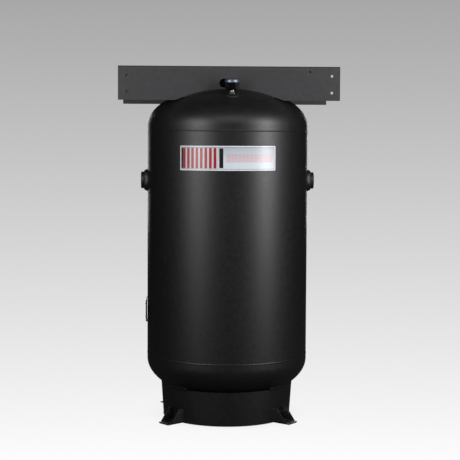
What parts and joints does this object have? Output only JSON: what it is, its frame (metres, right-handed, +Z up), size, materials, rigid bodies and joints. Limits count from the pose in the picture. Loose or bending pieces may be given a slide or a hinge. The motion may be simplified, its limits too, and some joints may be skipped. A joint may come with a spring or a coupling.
{
  "type": "vertical air receiver tank with compressor platform",
  "caption": "Upright compressed-air receiver: domed welded tank on a base ring with bolt-down feet, side ports, top check valve and a bent-sheet platform for pump and motor.",
  "frame": {"origin": "on the floor at the tank axis, level with the underside of the base ring and the four feet", "axes": "+Z up along the tank axis, -Y to the front with the label, +X to the right side port"},
  "size_m": [0.821, 0.6124, 1.3256],
  "materials": {
    "tank_paint": "satin black enamel over primed plate",
    "platform_paint": "satin charcoal grey enamel",
    "weld_paint": "satin black enamel over weld bead",
    "label_film": "printed vinyl film",
    "nameplate_metal": "brushed blank plate",
    "rivet_metal": "plain",
    "bright_chrome": "polished",
    "black_plated_steel": "black chrome",
    "spring_steel": "drawn wire",
    "brass": "forged and turned",
    "zinc_plate": "bright zinc",
    "galvanised_pipe": "dull galvanised",
    "seat_plastic": "white seat rings",
    "grip_vinyl": "dipped vinyl"
  },
  "bodies": {
    "tank": {"base_ring": "tank_paint", "base_ring_welds": "weld_paint", "bottom_head": "tank_paint", "bottom_seam_weld": "weld_paint", "check_valve_body": "black_plated_steel", "check_valve_cap": "bright_chrome", "check_valve_spring": "spring_steel", "drain_cock_body": "brass", "drain_cock_gland": "brass", "drain_cock_seats": "seat_plastic", "drain_cock_tail": "brass", "drain_coupling": "tank_paint", "drain_elbow": "galvanised_pipe", "drain_pipe": "galvanised_pipe", "drain_weld": "weld_paint", "foot_front_left": "tank_paint", "foot_front_right": "tank_paint", "foot_rear_left": "tank_paint", "foot_rear_right": "tank_paint", "foot_welds": "weld_paint", "front_label": "label_film", "inlet_coupling": "tank_paint", "inlet_nipple": "zinc_plate", "inlet_weld": "weld_paint", "nameplate": "nameplate_metal", "nameplate_bracket": "tank_paint", "nameplate_rivets": "rivet_metal", "platform": "platform_paint", "platform_saddle": "platform_paint", "platform_welds": "weld_paint", "port_coupling_left": "tank_paint", "port_coupling_right": "tank_paint", "port_weld_left": "weld_paint", "port_weld_right": "weld_paint", "shell": "tank_paint", "shell_long_weld": "weld_paint", "top_head": "tank_paint", "top_seam_weld": "weld_paint"},
    "drain_lever": {"drain_cock_ball": "bright_chrome", "drain_cock_stem": "brass", "drain_cock_lever": "zinc_plate", "drain_cock_grip": "grip_vinyl", "drain_cock_nut": "zinc_plate"},
    "poppet": {"check_valve_poppet": "brass"}
  },
  "joints": [
    {"name": "drain_lever_turn", "type": "hinge", "parent": "tank", "child": "drain_lever", "pos_m": [0, 0.278, 0.06], "axis": [0, 0, 1], "range_deg": [0, 90]},
    {"name": "poppet_slide", "type": "slide", "parent": "tank", "child": "poppet", "axis": [0, 0, -1], "range_m": [0, 0.0035], "stiffness_N_per_m": 200, "springref_m": -0.003, "deforming": ["check_valve_spring"]}
  ]
}
